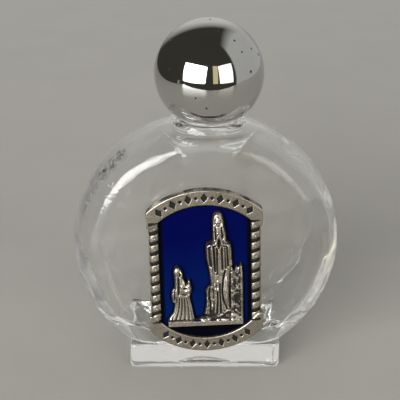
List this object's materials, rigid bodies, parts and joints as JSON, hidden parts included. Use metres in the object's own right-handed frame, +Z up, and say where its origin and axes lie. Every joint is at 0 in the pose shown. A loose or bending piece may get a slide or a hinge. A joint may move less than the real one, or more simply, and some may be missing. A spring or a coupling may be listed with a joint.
{
  "type": "holy water bottle",
  "caption": "Small flat round glass flask on a rectangular foot, with a chromed ball screw cap and a cast plaque of figures on blue enamel; holds and pours water.",
  "frame": {"origin": "centre of the foot's underside, on the neck's axis", "axes": "+Z up along the neck; -Y out of the front face that carries the plaque; +X to the right, seen from the front"},
  "size_m": [0.0552, 0.0231, 0.0736],
  "materials": {
    "clear_glass": "polished",
    "chromed_ball": "polished",
    "cap_liner": "satin",
    "seal_wad": "matte",
    "adhesive": "matte",
    "antique_pewter": "satin",
    "blue_enamel": "gloss",
    "bright_pewter": "satin"
  },
  "bodies": {
    "flask": {"glass_flask": "clear_glass", "plaque_adhesive": "adhesive", "plaque_frame": "antique_pewter", "plaque_enamel": "blue_enamel", "plaque_relief": "bright_pewter"},
    "seal": {"cap_seal": "seal_wad"},
    "cap": {"cap_shell": "chromed_ball", "cap_insert": "cap_liner"}
  },
  "joints": [
    {"name": "cap_lift", "type": "slide", "parent": "flask", "child": "seal", "axis": [0, 0, 1], "range_m": [0, 0.0084]},
    {"name": "cap_turn", "type": "hinge", "parent": "seal", "child": "cap", "pos_m": [0, 0, 0.06255], "axis": [0, 0, 1], "range_deg": [0, 1080]}
  ],
  "couplings": [
    {"joint": "cap_lift", "follows": "cap_turn", "m_per_rad": 0.00044563}
  ]
}
